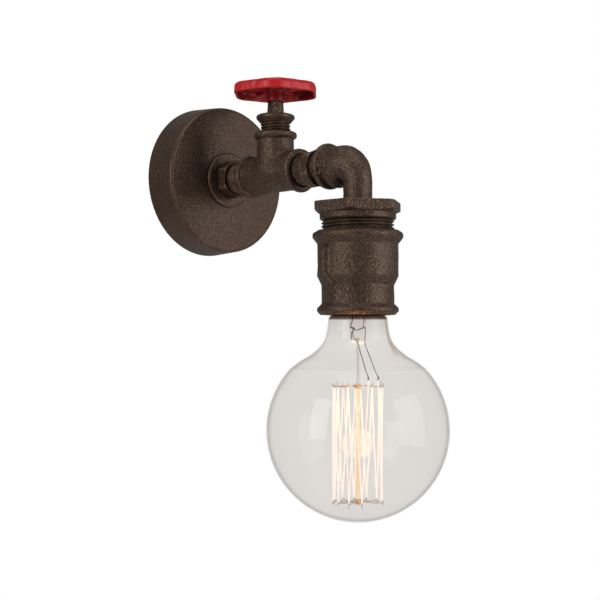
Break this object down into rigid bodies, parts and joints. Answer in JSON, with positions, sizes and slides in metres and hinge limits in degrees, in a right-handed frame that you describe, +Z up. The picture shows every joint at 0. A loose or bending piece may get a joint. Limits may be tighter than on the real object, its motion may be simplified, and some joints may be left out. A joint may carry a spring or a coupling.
{
  "type": "industrial pipe wall light",
  "caption": "Wall light built from threaded pipe fittings, with a round wall cover, a red handwheel on a tee and a bare globe lamp hanging from a reducing socket.",
  "frame": {"origin": "centre of the round wall cover's back, on the wall plane, in line with the arm", "axes": "+Y into the wall, so the arm stands out along -Y; +Z up, so the lamp hangs down along -Z; +X to the right when facing the wall"},
  "size_m": [0.125, 0.2233, 0.3141],
  "materials": {
    "plain_turned_steel": "plain turned steel",
    "dark_brown_satin_finish_with_worn_edges": "dark brown satin finish with worn edges",
    "zinc_plated_turned_steel": "zinc-plated turned steel",
    "plain_brass": "plain brass",
    "plain_brass_sheet": "plain brass sheet",
    "green_and_yellow_sleeved_wire": "green and yellow sleeved wire",
    "gloss_red_enamel": "gloss red enamel",
    "glazed_white_porcelain": "glazed white porcelain",
    "spring_brass": "spring brass",
    "nickel_plated_brass": "nickel-plated brass",
    "black_glass": "black glass",
    "solder": "solder",
    "glowing_carbon_wire": "glowing carbon wire",
    "clear_blown_glass": "clear blown glass",
    "clear_pressed_glass": "clear pressed glass",
    "clear_drawn_glass": "clear drawn glass",
    "nickel_wire": "nickel wire",
    "molybdenum_wire": "molybdenum wire",
    "brown_sleeved_wire": "brown sleeved wire",
    "blue_sleeved_wire": "blue sleeved wire",
    "dark_brown_hammered_finish_with_fine_brassy_flecks": "dark brown hammered finish with fine brassy flecks",
    "unglazed_steatite": "unglazed steatite",
    "zinc_plated_strip": "zinc-plated strip"
  },
  "bodies": {
    "arm": {"block_screw": "plain_turned_steel", "bonnet": "dark_brown_satin_finish_with_worn_edges", "cover_screws": "zinc_plated_turned_steel", "earth_screw": "plain_brass", "earth_screw_washer": "plain_brass", "earth_tag": "plain_brass_sheet", "earth_wire": "green_and_yellow_sleeved_wire", "entry_nipple": "dark_brown_satin_finish_with_worn_edges", "entry_washer": "dark_brown_satin_finish_with_worn_edges", "holder_body": "glazed_white_porcelain", "holder_contact_leaf": "spring_brass", "holder_disc": "zinc_plated_turned_steel", "holder_hood": "glazed_white_porcelain", "holder_nuts": "zinc_plated_turned_steel", "holder_rivets": "plain_brass", "holder_screw_shell": "nickel_plated_brass", "holder_stud": "zinc_plated_turned_steel", "holder_terminal_screws": "plain_turned_steel", "holder_terminals": "plain_brass", "holder_tie_screws": "plain_turned_steel", "link_nipple": "dark_brown_satin_finish_with_worn_edges", "live_wire": "brown_sleeved_wire", "lock_nut": "zinc_plated_turned_steel", "neutral_wire": "blue_sleeved_wire", "reducing_bushing": "dark_brown_hammered_finish_with_fine_brassy_flecks", "reducing_socket": "dark_brown_hammered_finish_with_fine_brassy_flecks", "street_elbow": "dark_brown_hammered_finish_with_fine_brassy_flecks", "tee": "dark_brown_hammered_finish_with_fine_brassy_flecks", "terminal_block": "unglazed_steatite", "terminal_clamps": "plain_brass", "terminal_screws": "plain_turned_steel", "wall_cover": "dark_brown_satin_finish_with_worn_edges", "wall_strap": "zinc_plated_strip"},
    "wheel": {"handwheel": "gloss_red_enamel", "spindle": "dark_brown_satin_finish_with_worn_edges", "spindle_clip": "plain_turned_steel", "spindle_washer": "plain_brass", "wheel_washer": "dark_brown_satin_finish_with_worn_edges", "wheel_nut": "dark_brown_satin_finish_with_worn_edges"},
    "lamp": {"lamp_cap": "nickel_plated_brass", "lamp_cap_insulator": "black_glass", "lamp_contact": "solder", "lamp_filament": "glowing_carbon_wire", "lamp_glass": "clear_blown_glass", "lamp_glass_mount": "clear_pressed_glass", "lamp_glass_rod": "clear_drawn_glass", "lamp_leads": "nickel_wire", "lamp_supports": "molybdenum_wire"}
  },
  "joints": [
    {"name": "handwheel_turn", "type": "hinge", "parent": "arm", "child": "wheel", "pos_m": [0, -0.0783, 0.05], "axis": [0, 0, 1], "continuous": true},
    {"name": "lamp_release", "type": "slide", "parent": "arm", "child": "lamp", "axis": [0, 0, -1], "range_m": [0, 0.045]}
  ]
}
